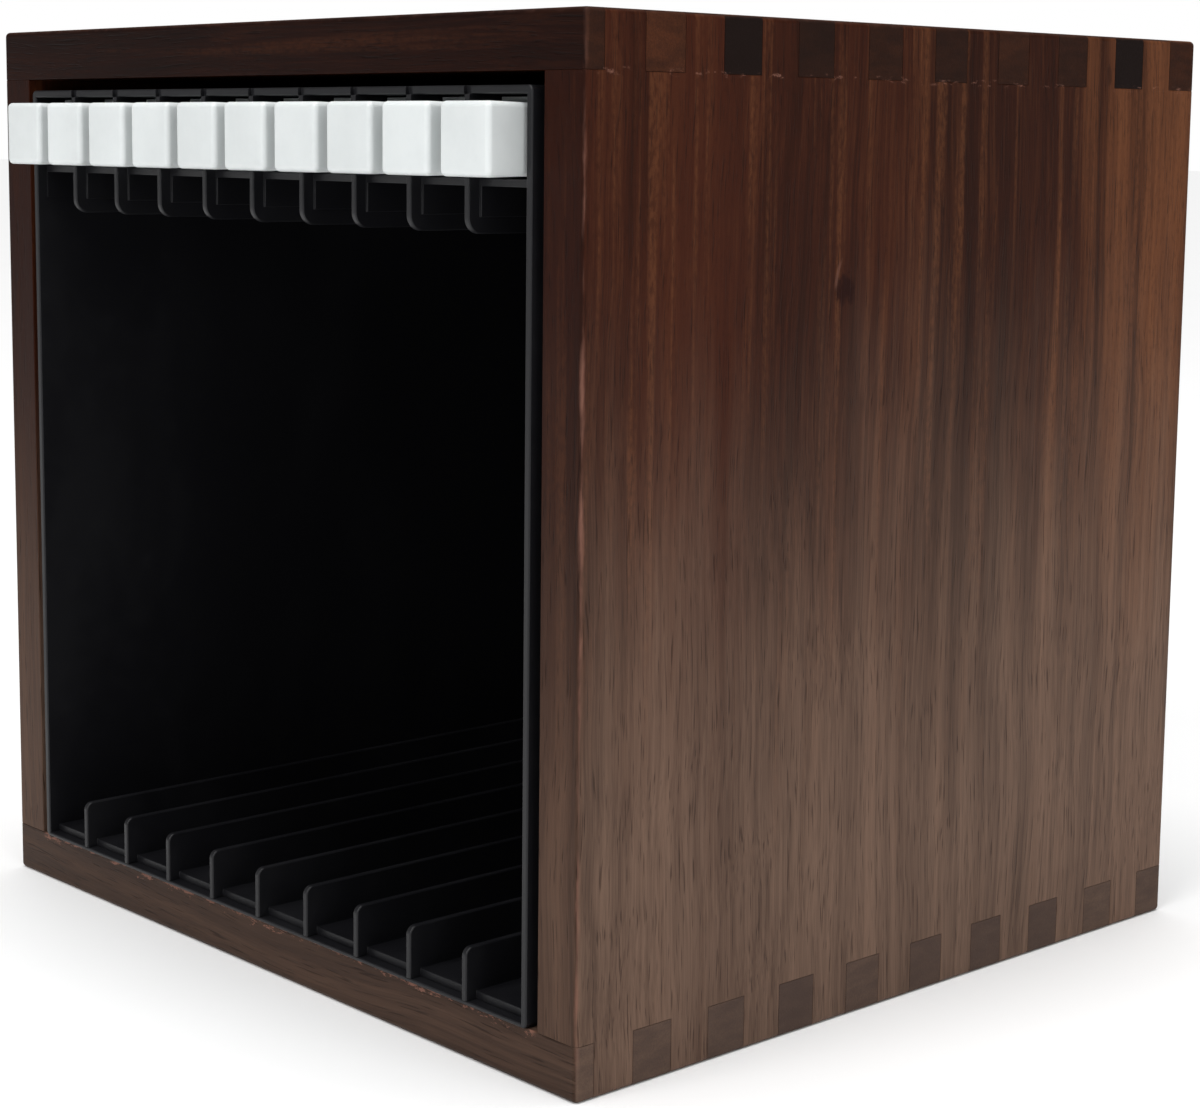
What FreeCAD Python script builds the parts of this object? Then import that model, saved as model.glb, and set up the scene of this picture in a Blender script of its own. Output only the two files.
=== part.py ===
"""Desktop box for ten disc cases: a finger-jointed wooden case round a moulded rack with push keys.

Millimetres. +X is right and -Y is towards the front, as seen from the front, and +Z is up. The origin is the
centre of the case's underside. Inside the functions below, Y is counted from the case's front plane, and
every piece is moved back by half the case's depth through its Placement.
"""
import FreeCAD, Part

import os
import re

import Sketcher
from FreeCAD import Vector

DOC = FreeCAD.newDocument("disc_box")

# Driving sizes, in millimetres, or degrees for the lever's lean. Each is set by itself.
SIZES = {
    # wooden case
    "case_width": (167, "outside, left to right"),
    "case_height": (165, "outside, underside to top"),
    "case_depth": (151, "outside, front to back"),
    "board": (9, "thickness of the four boards"),
    "finger": (8.2, "width of one finger of the corner joints"),
    "front_finger": (3.75, "width of the part finger at the front"),
    "least_finger": (3, "least width of the part finger at the back"),
    "case_edge": (0.9, "rounding of the case's outer edges"),
    "rebate": (4.5, "width of the rebate that takes the back panel"),
    "back_panel": (3, "thickness of the back panel"),
    "panel_gap": (0.15, "gap round the back panel"),
    "pin_shank": (1.2, "diameter of a panel pin"),
    "pin_head": (2.2, "diameter of a panel pin's head"),
    "pin_length": (11, "length of a panel pin"),
    "pin_spread": (46, "distance between panel pins along one side"),
    # rack: sleeve, floor and cover
    "rack_gap": (2.1, "gap between boards and rack at left, right and top"),
    "rack_proud": (0.5, "rack's rim in front of the boards"),
    "rack_wall": (1.3, "wall of the sleeve at left, right and top"),
    "rack_floor_wall": (0.7, "wall of the sleeve under the slots"),
    "rack_corner": (1, "rounding of the sleeve's long corners"),
    "rim_round": (0.3, "rounding of the moulded rims and combs"),
    "rim_notch": (0.7, "depth of the notches in the top rim"),
    "rim_notch_width": (1.8, "width of the notches in the top rim"),
    "cover": (1.5, "thickness of the rack's rear cover"),
    "slots": (10, "number of slots, a count"),
    "rib": (1.2, "thickness of ribs, fins, dividers and hangers"),
    "plate_setback": (2, "floor plate and rail behind the rim"),
    "comb_proud": (0.15, "ribs, fins and dividers in front of the rim"),
    "floor_plate": (1.4, "thickness of the floor plate"),
    "rib_height": (7.4, "height of the ribs over the floor plate"),
    "rib_nose": (1.5, "rounding of the ribs' upper front corners"),
    # key deck
    "channel_height": (12.7, "height of the key channels"),
    "rail": (1.2, "thickness of the rail under the keys"),
    "fin_drop": (7.3, "height of the fins under the rail"),
    "fin_nose": (2.5, "rounding of the fins' lower front corners"),
    "pad": (0.4, "thickness of the guide pads on the fins"),
    "pad_drop": (4.7, "height of the guide pads under the rail"),
    "wall": (2, "thickness of the walls across the channels"),
    # keys
    "key_gap": (2.74, "gap between two keys"),
    "key_taper": (0.3, "slope of a key's upper and lower sides"),
    "key_round": (0.9, "rounding of a key's edges"),
    "key_drop": (0.8, "extra gap over a key's head"),
    "key_out": (7.2, "key's face in front of the case"),
    "key_in": (5.5, "key's head behind the case's front"),
    "slide_gap": (0.3, "gap round what slides in the channels"),
    "block": (2.5, "length of a key's guide block"),
    "spring_room": (16, "length of a key's spring at rest"),
    "spring_wire": (0.6, "wire of a key's spring"),
    "spring_turns": (7, "turns of a key's spring, a count"),
    "stem_width": (4, "width of a key's stem"),
    "stem_gap": (1.65, "gap between a key's stem and the lever carrier's plate"),
    "collar": (2, "length of a stem's stop collar"),
    "collar_lip": (1.2, "collar's lip round the stem"),
    "stop_gap": (0.1, "gap between collar and stop wall at rest"),
    # levers
    "rod": (2.5, "diameter of the pivot rod"),
    "rod_fit": (0.05, "radial clearance round the rod"),
    "rod_end": (0.2, "gap between the rod's ends and the sleeve"),
    "rod_bevel": (0.3125, "bevel of the rod's ends"),
    "rod_inset": (7, "rod's axis before the rack's cover"),
    "hub": (6, "diameter of a lever's hub"),
    "lever_width": (3, "width of a lever's arms"),
    "lever_depth": (3.6, "depth of a lever's lower arm at its hub"),
    "shoulder": (2.4, "depth of a lever's upper arm at its hub"),
    "neck": (1.2, "depth of a lever's upper arm at its hook"),
    "upper_arm": (15.05, "hub's axis to the hook's axis"),
    "lever_lean": (11.5, "upper arm's lean to the front at rest, in degrees"),
    "hook": (3, "diameter of a lever's hook end"),
    "hook_gap": (0.2, "gap between hook end and its notch"),
    "foot_height": (58, "height of the lever's foot over the underside"),
    "foot": (4, "diameter of a lever's foot"),
    "foot_inset": (8.5, "foot's middle before the rack's cover at rest"),
    "carrier_plate": (1.6, "thickness of the lever carrier's top plate"),
    "hanger_drop": (5.6, "hangers' reach below the rod's axis"),
    # rack screws
    "screw_shank": (2.9, "diameter of a rack screw"),
    "screw_head": (5.6, "diameter of a rack screw's head"),
    "screw_sink": (1.5, "depth of a rack screw's head"),
    "screw_length": (11, "length of a rack screw"),
    "screw_spread": (80, "distance between upper and lower screws"),
    "cross": (0.7, "width of the cross recess"),
    "bolt_block": (4.6, "side of the sleeve's screw blocks"),
    "bolt_block_length": (8, "length of the sleeve's screw blocks"),
    "hole_gap": (0.1, "gap round a screw in its holes"),
    "thread_bite": (0.4, "rack screw's diameter over its hole in the sleeve"),
    "cross_span": (3.36, "width across the cross recess"),
}

# Sizes and places worked out from the driving ones. Y is counted from the case's front plane.
DERIVED = {
    "half_width": "case_width / 2",
    "inner_half": "half_width - board",
    "roof": "case_height - board",
    "joint_step": "2 * finger",
    "side_fingers": "floor((case_depth - front_finger - least_finger + finger) / joint_step)",
    "rear_finger_start": "front_finger + (2 * side_fingers - 1) * finger",
    "panel_front": "case_depth - back_panel",
    "rack_half": "inner_half - rack_gap",
    "rack_top": "roof - rack_gap",
    "bay_half": "rack_half - rack_wall",
    "bay_floor": "board + rack_floor_wall",
    "bay_top": "rack_top - rack_wall",
    "rack_rear": "panel_front - cover",
    "rim_front": "-rack_proud",
    "comb_front": "rim_front - comb_proud",
    "plate_front": "rim_front + plate_setback",
    "pitch": "(2 * bay_half + rib) / slots",
    "slot_width": "pitch - rib",
    "first_rib": "pitch - bay_half - rib / 2",
    "rib_span": "(slots - 2) * pitch",
    "slot_floor": "bay_floor + floor_plate",
    "rib_top": "slot_floor + rib_height",
    "rail_top": "bay_top - channel_height",
    "rail_bottom": "rail_top - rail",
    "fin_bottom": "rail_bottom - fin_drop",
    "pad_bottom": "rail_bottom - pad_drop",
    "key_face": "channel_height - 2 * slide_gap - key_drop",
    "key_middle": "rail_top + slide_gap + key_face / 2",
    "stem_height": "2 * (bay_top - carrier_plate - stem_gap - key_middle)",
    "block_front": "key_in",
    "spring_front": "block_front + block",
    "stop_front": "spring_front + spring_room",
    "stop_rear": "stop_front + wall",
    "rod_y": "rack_rear - rod_inset",
    "rod_z": "key_middle - upper_arm + hook_gap / 2",
    "hook_y": "rod_y - upper_arm * sin(lever_lean)",
    "hook_z": "rod_z + upper_arm * cos(lever_lean)",
    "notch_half": "hook / 2 + hook_gap",
    "stem_bottom": "key_middle - stem_height / 2",
    "stem_rear": "hook_y + notch_half + hook / 2",
    "hook_front": "hook_y - notch_half",
    "deck_rear": "hook_front - hook / 2",
    "guide_wall_front": "deck_rear - 3 * wall",
    "spring_mean": "sqrt(stem_width^2 + stem_height^2) / 2 + slide_gap + spring_wire / 2",
    "block_y": "rack_rear - bolt_block_length",
    "screw_x": "bay_half - bolt_block / 2",
    "screw_low": "(case_height - screw_spread) / 2",
    "foot_y": "rack_rear - foot_inset",
}

SHEET = DOC.addObject("Spreadsheet::Sheet", "Sizes")
for row, (alias, (size, meaning)) in enumerate(SIZES.items(), 1):
    SHEET.set(f"A{row}", alias)
    SHEET.set(f"B{row}", str(size))
    SHEET.set(f"C{row}", meaning)
    SHEET.setAlias(f"B{row}", alias)
DOC.recompute()

PIECES = []
NEAR = 1e-4
SPARE = 1
STRAIGHT = 0.9
PLANES = {"XY": "XY_Plane", "XZ": "XZ_Plane", "YZ": "YZ_Plane"}


def bound(formula):
    """Writes a formula of size names as an expression on the sheet."""

    def swap(match):
        word = match.group(0)
        if word in DERIVED:
            return "(" + bound(DERIVED[word]) + ")"
        if word in SIZES:
            return "Sizes." + word
        return word

    return re.sub(r"[a-z][a-z_]*", swap, str(formula))


def number(formula):
    """The present value of a formula of size names."""
    result = SHEET.evalExpression(bound(formula))
    return float(getattr(result, "Value", result))


def tie(thing, **formulas):
    """Binds an object's properties to formulas. A double underscore stands for a dot."""
    for key, formula in formulas.items():
        thing.setExpression(key.replace("__", "."), bound(formula))


def rectangle(left, low, right, high):
    """The corners of an upright rectangle."""
    return [(left, low), (right, low), (right, high), (left, high)]


def along_normal(plane, reach):
    """A reach as a distance along a plane's normal, which points forwards on XZ."""
    return f"-({reach})" if plane == "XZ" else reach


class Piece:
    """One moulded, sawn or turned piece: a body whose features are bound to the sheet."""

    def __init__(self, label, x="0", y="0", z="0"):
        self.body = DOC.addObject("PartDesign::Body", label)
        self.body.Label = label
        tie(
            self.body,
            Placement__Base__x=x,
            Placement__Base__y=f"{y} - case_depth / 2",
            Placement__Base__z=z,
        )
        PIECES.append(self.body)

    @property
    def shape(self):
        """The piece's present shape, in its own frame."""
        DOC.recompute()
        return self.body.Tip.Shape

    def sketch(self, plane, reach, outlines=(), circles=()):
        """Draws closed outlines of (u, v) formulas and circles of (u, v, diameter) on a plane at a reach."""
        role = PLANES[plane]
        drawing = self.body.newObject("Sketcher::SketchObject", "Sketch")
        base = [f for f in self.body.Origin.OriginFeatures if f.Role == role][0]
        drawing.AttachmentSupport = [(base, "")]
        drawing.MapMode = "FlatFace"
        tie(drawing, AttachmentOffset__Base__z=along_normal(plane, reach))
        for outline in outlines:
            self._outline(drawing, outline)
        for u, v, diameter in circles:
            centre = Vector(number(u), number(v), 0)
            index = drawing.addGeometry(Part.Circle(centre, Vector(0, 0, 1), number(diameter) / 2))
            self._fix(drawing, index, 3, u, v)
            held = drawing.addConstraint(Sketcher.Constraint("Diameter", index, number(diameter)))
            drawing.setExpression(f"Constraints[{held}]", bound(diameter))
        return drawing

    @staticmethod
    def _fix(drawing, index, point, u, v):
        """Holds one point of a sketch at its distances from the sketch's origin."""
        for kind, formula in (("DistanceX", u), ("DistanceY", v)):
            rule = Sketcher.Constraint(kind, -1, 1, index, point, number(formula))
            held = drawing.addConstraint(rule)
            drawing.setExpression(f"Constraints[{held}]", bound(formula))

    def _outline(self, drawing, corners):
        """Draws one closed outline of straight lines."""
        spots = [Vector(number(u), number(v), 0) for u, v in corners]
        first = None
        for index, (spot, after) in enumerate(zip(spots, spots[1:] + spots[:1])):
            line = drawing.addGeometry(Part.LineSegment(spot, after))
            if first is None:
                first = line
            else:
                drawing.addConstraint(Sketcher.Constraint("Coincident", line - 1, 2, line, 1))
            self._fix(drawing, line, 1, *corners[index])
        drawing.addConstraint(Sketcher.Constraint("Coincident", line, 2, first, 1))

    def _extrude(self, kind, plane, start, length, outlines, circles):
        """Adds or cuts from a start reach to start plus length, along the plane's own axis."""
        before = self.body.Tip.Shape.Volume if self.body.Tip else 0
        adding = kind.endswith("Pad")
        drawing = self.sketch(plane, start, outlines, circles)
        feature = self.body.newObject(kind, kind.split("::")[1])
        feature.Profile = drawing
        feature.Reversed = adding == (plane == "XZ")
        tie(feature, Length=length)
        DOC.recompute()
        change = feature.Shape.Volume - before
        if (change > 0) != adding or change == 0:
            raise ValueError(f"{self.body.Label}: {feature.Name} changes the volume by {change}")
        return feature

    def pad(self, plane, start, length, outlines=(), circles=()):
        """Adds material from a start reach."""
        return self._extrude("PartDesign::Pad", plane, start, length, outlines, circles)

    def pocket(self, plane, start, length, outlines=(), circles=()):
        """Cuts material from a start reach."""
        return self._extrude("PartDesign::Pocket", plane, start, length, outlines, circles)

    def repeat(self, features, axis, length, count):
        """Repeats features in a line along the body's own X, Y or Z axis."""
        before = self.shape.Volume
        pattern = self.body.newObject("PartDesign::LinearPattern", "LinearPattern")
        pattern.Originals = features
        way = [f for f in self.body.Origin.OriginFeatures if f.Role == axis + "_Axis"][0]
        pattern.Direction = (way, [""])
        tie(pattern, Length=length, Occurrences=count)
        self.body.Tip = pattern
        DOC.recompute()
        if abs(pattern.Shape.Volume - before) < NEAR:
            raise ValueError(f"{self.body.Label}: {pattern.Name} changes nothing")
        return pattern

    def fillet(self, radius, test):
        """Rounds every edge for which test(middle, direction) is true."""
        return self._dress("PartDesign::Fillet", "Radius", radius, test)

    def chamfer(self, size, test):
        """Bevels every edge for which test(middle, direction) is true."""
        return self._dress("PartDesign::Chamfer", "Size", size, test)

    def _dress(self, kind, size_name, size, test):
        """Adds a fillet or chamfer on the edges that pass a test."""
        names = []
        for index, edge in enumerate(self.shape.Edges, 1):
            middle = edge.valueAt((edge.FirstParameter + edge.LastParameter) / 2)
            way = edge.tangentAt(edge.FirstParameter) if edge.Curve.TypeId == "Part::GeomLine" else Vector()
            if test(middle, way):
                names.append(f"Edge{index}")
        if not names:
            raise ValueError(f"{self.body.Label}: no edge to round")
        below = self.body.Tip
        feature = self.body.newObject(kind, kind.split("::")[1])
        feature.Base = (below, names)
        tie(feature, **{size_name: size})
        DOC.recompute()
        return feature


def near(value, *formulas):
    """Whether a coordinate lies on one of the given formulas."""
    return any(abs(value - number(formula)) < NEAR for formula in formulas)


def horizontal_board(label, low, outer, rebate_low):
    """Top or bottom board: full width, notched at both ends for the side boards' fingers."""
    piece = Piece(label)
    piece.pad("XY", low, "board", [rectangle("-half_width", "0", "half_width", "case_depth")])
    piece.fillet(
        "case_edge",
        lambda m, d: near(m.z, outer) or (near(abs(m.x), "half_width") and near(m.y, "0", "case_depth")),
    )
    notch = [
        rectangle(f"-half_width - {SPARE}", "front_finger", "-inner_half", "front_finger + finger"),
        rectangle("inner_half", "front_finger", f"half_width + {SPARE}", "front_finger + finger"),
    ]
    cut = piece.pocket("XY", low, "board", notch)
    piece.repeat([cut], "Y", "(side_fingers - 1) * joint_step", "side_fingers")
    reach = "inner_half + rebate"
    recess = rectangle(f"-({reach})", "panel_front", reach, f"case_depth + {SPARE}")
    piece.pocket("XY", rebate_low, "rebate", [recess])


def side_board(label, low, outer, rebate_low):
    """Left or right board: full height, notched at both ends for the other boards' fingers."""
    piece = Piece(label)
    piece.pad("YZ", low, "board", [rectangle("0", "0", "case_depth", "case_height")])
    piece.fillet("case_edge", lambda m, d: near(m.x, outer))
    ends = [("front_finger", f"-{SPARE}"), ("rear_finger_start", f"case_depth + {SPARE}")]
    corners = []
    for inner, beyond in ends:
        corners.append(rectangle(inner, f"-{SPARE}", beyond, "board"))
        corners.append(rectangle(inner, "roof", beyond, f"case_height + {SPARE}"))
    piece.pocket("YZ", low, "board", corners)
    start = "front_finger + finger"
    notch = [
        rectangle(start, f"-{SPARE}", f"{start} + finger", "board"),
        rectangle(start, "roof", f"{start} + finger", f"case_height + {SPARE}"),
    ]
    cut = piece.pocket("YZ", low, "board", notch)
    piece.repeat([cut], "Y", "(side_fingers - 2) * joint_step", "side_fingers - 1")
    recess = rectangle("panel_front", "board - rebate", f"case_depth + {SPARE}", "roof + rebate")
    piece.pocket("YZ", rebate_low, "rebate", [recess])


def screw_places():
    """The (x, z) formulas of the four rack screws."""
    high = "screw_low + screw_spread"
    return [(x, z) for x in ("-screw_x", "screw_x") for z in ("screw_low", high)]


def pin_places():
    """The (x, z) formulas of the twelve panel pins, three along each side."""
    beside = "inner_half + rebate / 2"
    steps = ("-pin_spread", "0", "pin_spread")
    upright = [(x, f"case_height / 2 + {s}") for x in (f"-({beside})", beside) for s in steps]
    level = [(s, z) for z in ("board - rebate / 2", "roof + rebate / 2") for s in steps]
    return upright + level


def back_panel():
    """Thin panel in the rebate round the back, drilled for its pins and sunk for the rack's screws."""
    piece = Piece("back_panel")
    reach = "(inner_half + rebate - panel_gap)"
    outline = rectangle(f"-{reach}", "board - rebate + panel_gap", reach, "roof + rebate - panel_gap")
    piece.pad("XZ", "panel_front", "back_panel", [outline])
    shanks = [(x, z, "screw_shank + 2 * hole_gap") for x, z in screw_places()]
    shanks += [(x, z, "pin_shank") for x, z in pin_places()]
    piece.pocket("XZ", "panel_front", "back_panel", circles=shanks)
    heads = [(x, z, "screw_head + 2 * hole_gap") for x, z in screw_places()]
    piece.pocket("XZ", "case_depth - screw_sink", "screw_sink", circles=heads)
    heads = [(x, z, "pin_head") for x, z in pin_places()]
    piece.pocket("XZ", "case_depth - pin_shank / 2", "pin_shank / 2", circles=heads)


def rack_sleeve():
    """Moulded tube with a notched top rim, guide pads on its side walls and four screw blocks."""
    piece = Piece("rack_sleeve")
    outer = rectangle("-rack_half", "board", "rack_half", "rack_top")
    inner = rectangle("-bay_half", "bay_floor", "bay_half", "bay_top")
    length = "rack_rear - rim_front"
    piece.pad("XZ", "rim_front", length, [outer, inner])
    piece.fillet(
        "rack_corner",
        lambda m, d: abs(d.y) > STRAIGHT and near(abs(m.x), "rack_half") and near(m.z, "board", "rack_top"),
    )
    piece.fillet("rim_round", lambda m, d: near(m.y, "rim_front"))
    high = "rail_bottom"
    pads = [
        rectangle("-bay_half", "pad_bottom", "-bay_half + pad", high),
        rectangle("bay_half - pad", "pad_bottom", "bay_half", high),
    ]
    piece.pad("XZ", "plate_front", "deck_rear - plate_front", pads)
    blocks = []
    for side in ("-", ""):
        for _, z in screw_places()[:2]:
            middle = f"({z})"
            blocks.append(
                rectangle(
                    f"{side}bay_half",
                    f"{middle} - bolt_block / 2",
                    f"{side}(bay_half - bolt_block)",
                    f"{middle} + bolt_block / 2",
                )
            )
    piece.pad("XZ", "block_y", "bolt_block_length", blocks)
    holes = [(x, z, "screw_shank - thread_bite") for x, z in screw_places()]
    piece.pocket("XZ", "block_y + hole_gap", "bolt_block_length", circles=holes)
    notch = rectangle(
        "first_rib - rim_notch_width / 2",
        f"bay_top - {SPARE}",
        "first_rib + rim_notch_width / 2",
        f"rack_top + {SPARE}",
    )
    cut = piece.pocket("XZ", "rim_front", "rim_notch", [notch])
    piece.repeat([cut], "X", "rib_span", "slots - 1")


def rack_floor():
    """Floor plate with a rib between every two slots."""
    piece = Piece("rack_floor")
    plate = rectangle("-bay_half", "plate_front", "bay_half", "rack_rear")
    piece.pad("XY", "bay_floor", "floor_plate", [plate])
    side = rectangle("comb_front", "bay_floor", "rack_rear", "rib_top")
    rib = piece.pad("YZ", "first_rib - rib / 2", "rib", [side])
    piece.repeat([rib], "X", "rib_span", "slots - 1")
    piece.fillet("rib_nose", lambda m, d: near(m.y, "comb_front") and near(m.z, "rib_top"))
    piece.fillet("rim_round", lambda m, d: near(m.z, "rib_top") and abs(d.y) > STRAIGHT)


def key_deck():
    """Rail under the keys with a padded fin between every two slots."""
    piece = Piece("key_deck")
    plate = rectangle("-bay_half", "plate_front", "bay_half", "deck_rear")
    piece.pad("XY", "rail_bottom", "rail", [plate])
    fin = rectangle("comb_front", "fin_bottom", "deck_rear", "rail_top")
    blade = piece.pad("YZ", "first_rib - rib / 2", "rib", [fin])
    guide = rectangle("plate_front", "pad_bottom", "deck_rear", "rail_bottom")
    pads = piece.pad("YZ", "first_rib - rib / 2 - pad", "rib + 2 * pad", [guide])
    piece.repeat([blade, pads], "X", "rib_span", "slots - 1")
    piece.fillet("fin_nose", lambda m, d: near(m.y, "comb_front") and near(m.z, "fin_bottom"))
    piece.fillet("rim_round", lambda m, d: near(m.z, "fin_bottom") and abs(d.y) > STRAIGHT)


def key_guide():
    """Dividers between the key channels, joined by two walls that the keys' stems pass through."""
    piece = Piece("key_guide")
    side = rectangle("comb_front", "rail_top", "deck_rear", "bay_top")
    across = rectangle("-bay_half", "rail_top", "bay_half", "bay_top")
    starts = ("stop_front", "guide_wall_front")
    for start in starts:
        piece.pad("XZ", start, "wall", [across])
    blade = piece.pad("YZ", "first_rib - rib / 2", "rib", [side])
    piece.repeat([blade], "X", "rib_span", "slots - 1")
    first_slot = "first_rib - pitch / 2"
    half = "(stem_width / 2 + slide_gap)"
    notch = rectangle(
        f"{first_slot} - {half}", "stem_bottom - slide_gap", f"{first_slot} + {half}", f"bay_top + {SPARE}"
    )
    cuts = [piece.pocket("XZ", start, "wall", [notch]) for start in starts]
    piece.repeat(cuts, "X", "(slots - 1) * pitch", "slots")


def lever_carrier():
    """Top plate with a bored hanger between every two levers."""
    piece = Piece("lever_carrier")
    top = rectangle("-bay_half", "deck_rear", "bay_half", "rack_rear")
    piece.pad("XY", "bay_top - carrier_plate", "carrier_plate", [top])
    side = rectangle("deck_rear", "rod_z - hanger_drop", "rack_rear", "bay_top")
    hanger = piece.pad("YZ", "first_rib - rib / 2", "rib", [side])
    piece.repeat([hanger], "X", "rib_span", "slots - 1")
    bore = [("rod_y", "rod_z", "rod + 2 * rod_fit")]
    piece.pocket("YZ", "-bay_half", "2 * bay_half", circles=bore)


def rack_cover():
    """Flat rear cover of the rack."""
    piece = Piece("rack_cover")
    piece.pad("XZ", "rack_rear", "cover", [rectangle("-rack_half", "board", "rack_half", "rack_top")])
    piece.fillet("rack_corner", lambda m, d: abs(d.y) > STRAIGHT)
    holes = [(x, z, "screw_shank + 2 * hole_gap") for x, z in screw_places()]
    piece.pocket("XZ", "rack_rear", "cover", circles=holes)


def pivot_rod():
    """Steel rod that all levers turn on."""
    piece = Piece("pivot_rod")
    length = "2 * (bay_half - rod_end)"
    piece.pad("YZ", "rod_end - bay_half", length, circles=[("rod_y", "rod_z", "rod")])
    piece.chamfer("rod_bevel", lambda m, d: True)


def key(index):
    """Push key: a tapered head, a guide block, and a stem with a stop collar and a notch for the lever."""
    piece = Piece(f"key_{index + 1:02d}", x=f"({index} - (slots - 1) / 2) * pitch")
    half = "(pitch - key_gap) / 2"
    low = "key_middle - key_face / 2"
    high = "key_middle + key_face / 2"
    head = [
        ("-key_out", low),
        ("block_front", f"{low} + key_taper"),
        ("block_front", f"{high} - key_taper"),
        ("-key_out", high),
    ]
    piece.pad("YZ", f"-({half})", "pitch - key_gap", [head])
    piece.fillet("key_round", lambda m, d: not near(m.y, "block_front"))
    block_half = "(slot_width / 2 - slide_gap)"
    block = rectangle(f"-{block_half}", "rail_top + slide_gap", block_half, "bay_top - slide_gap")
    piece.pad("XZ", "block_front", "block", [block])
    stem = rectangle("-stem_width / 2", "stem_bottom", "stem_width / 2", "stem_bottom + stem_height")
    piece.pad("XZ", "spring_front", "stem_rear - spring_front", [stem])
    lip = rectangle(
        "-stem_width / 2 - collar_lip",
        "stem_bottom - collar_lip",
        "stem_width / 2 + collar_lip",
        "stem_bottom + stem_height + collar_lip",
    )
    piece.pad("XZ", "stop_rear + stop_gap", "collar", [lip])
    notch = rectangle(
        "hook_front", f"stem_bottom - {SPARE}", "hook_y + notch_half", "rod_z + upper_arm + notch_half"
    )
    piece.pocket("YZ", "-stem_width / 2", "stem_width", [notch])


def key_spring(index):
    """Compression spring between a key's guide block and the stop wall."""
    place = f"({index} - (slots - 1) / 2) * pitch"
    piece = Piece(f"key_spring_{index + 1:02d}", x=place, z="key_middle")
    start = "spring_front + spring_wire / 2"
    wire = piece.sketch("YZ", "0", circles=[(start, "spring_mean", "spring_wire")])
    coil = piece.body.newObject("PartDesign::AdditiveHelix", "Coil")
    coil.Profile = wire
    coil.ReferenceAxis = (wire, ["H_Axis"])
    coil.Mode = "height-turns-angle"
    tie(coil, Height="spring_room - spring_wire", Turns="spring_turns")
    DOC.recompute()


def beside(y, z, reach):
    """A point beside the middle line of a lever's upper arm, a reach to its rear."""
    return (f"{y} + ({reach}) * cos(lever_lean)", f"{z} + ({reach}) * sin(lever_lean)")


def lever(index):
    """Ejector lever: a hub on the rod, an upper arm hooked to the key's stem and a lower arm with a foot."""
    piece = Piece(f"lever_{index + 1:02d}", x=f"({index} - (slots - 1) / 2) * pitch")
    hub_half = "(slot_width / 2 - slide_gap)"
    arm_half = "lever_width / 2"
    piece.pad("YZ", f"-{hub_half}", f"2 * {hub_half}", circles=[("rod_y", "rod_z", "hub")])
    upper = [
        beside("rod_y", "rod_z", "-shoulder / 2"),
        beside("rod_y", "rod_z", "shoulder / 2"),
        beside("hook_y", "hook_z", "neck / 2"),
        beside("hook_y", "hook_z", "-neck / 2"),
    ]
    lower = [
        ("foot_y - foot / 2", "foot_height"),
        ("foot_y + foot / 2", "foot_height"),
        ("rod_y + lever_depth / 2", "rod_z"),
        ("rod_y - lever_depth / 2", "rod_z"),
    ]
    piece.pad("YZ", f"-{arm_half}", "lever_width", [upper])
    piece.pad("YZ", f"-{arm_half}", "lever_width", [lower])
    piece.pad("YZ", f"-{arm_half}", "lever_width", circles=[("hook_y", "hook_z", "hook")])
    piece.pad("YZ", f"-{arm_half}", "lever_width", circles=[("foot_y", "foot_height", "foot")])
    piece.pocket("YZ", f"-{hub_half}", f"2 * {hub_half}", circles=[("rod_y", "rod_z", "rod + 2 * rod_fit")])


def primitive(kind, x, y, z, **sizes):
    """A primitive with its sizes and place bound to the sheet, its round axis pointing forwards."""
    solid = DOC.addObject(kind, kind.split("::")[1])
    if kind != "Part::Box":
        solid.Placement.Rotation = FreeCAD.Rotation(Vector(1, 0, 0), 90)
    tie(
        solid,
        Placement__Base__x=x,
        Placement__Base__y=f"{y} - case_depth / 2",
        Placement__Base__z=z,
        **sizes,
    )
    return solid


def fused(*solids):
    """One solid made of several."""
    whole = DOC.addObject("Part::MultiFuse", "Fuse")
    whole.Shapes = list(solids)
    return whole


def group(label, solids):
    """Several separate solids of one kind under one label."""
    bundle = DOC.addObject("Part::Compound", label)
    bundle.Label = label
    bundle.Links = solids
    PIECES.append(bundle)


def rack_screw(x, z):
    """Countersunk screw with a cross recess, its head flush with the back panel."""
    rear = "case_depth"
    shank = primitive("Part::Cylinder", x, rear, z, Radius="screw_shank / 2", Height="screw_length")
    head = primitive(
        "Part::Cone", x, rear, z, Radius1="screw_head / 2", Radius2="screw_shank / 2", Height="screw_sink"
    )
    whole = fused(shank, head)
    half = "cross_span / 2"
    arms = []
    for wide, tall in ((half, "cross / 2"), ("cross / 2", half)):
        arms.append(
            primitive(
                "Part::Box",
                f"{x} - {wide}",
                f"{rear} - cross",
                f"{z} - {tall}",
                Length=f"2 * ({wide})",
                Width=f"cross + {SPARE}",
                Height=f"2 * ({tall})",
            )
        )
    recessed = DOC.addObject("Part::Cut", "Recess")
    recessed.Base = whole
    recessed.Tool = fused(*arms)
    return recessed


def panel_pin(x, z):
    """Small nail with a flat head, flush with the back panel."""
    shank = primitive("Part::Cylinder", x, "case_depth", z, Radius="pin_shank / 2", Height="pin_length")
    head = primitive("Part::Cylinder", x, "case_depth", z, Radius="pin_head / 2", Height="pin_shank / 2")
    return fused(shank, head)


def write_parts():
    """Checks every object and writes each piece to a file of its own."""
    DOC.recompute()
    for thing in DOC.Objects:
        if "Invalid" in thing.State or "Error" in thing.State:
            raise ValueError(f"{thing.Label} failed: {thing.State}")
    for piece in PIECES:
        if piece.Shape.isNull() or not piece.Shape.isValid() or not piece.Shape.Solids:
            raise ValueError(f"{piece.Label} has no valid shape")
    os.makedirs("parts", exist_ok=True)
    for piece in PIECES:
        piece.Shape.exportStep(f"parts/{piece.Label}.step")


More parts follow.
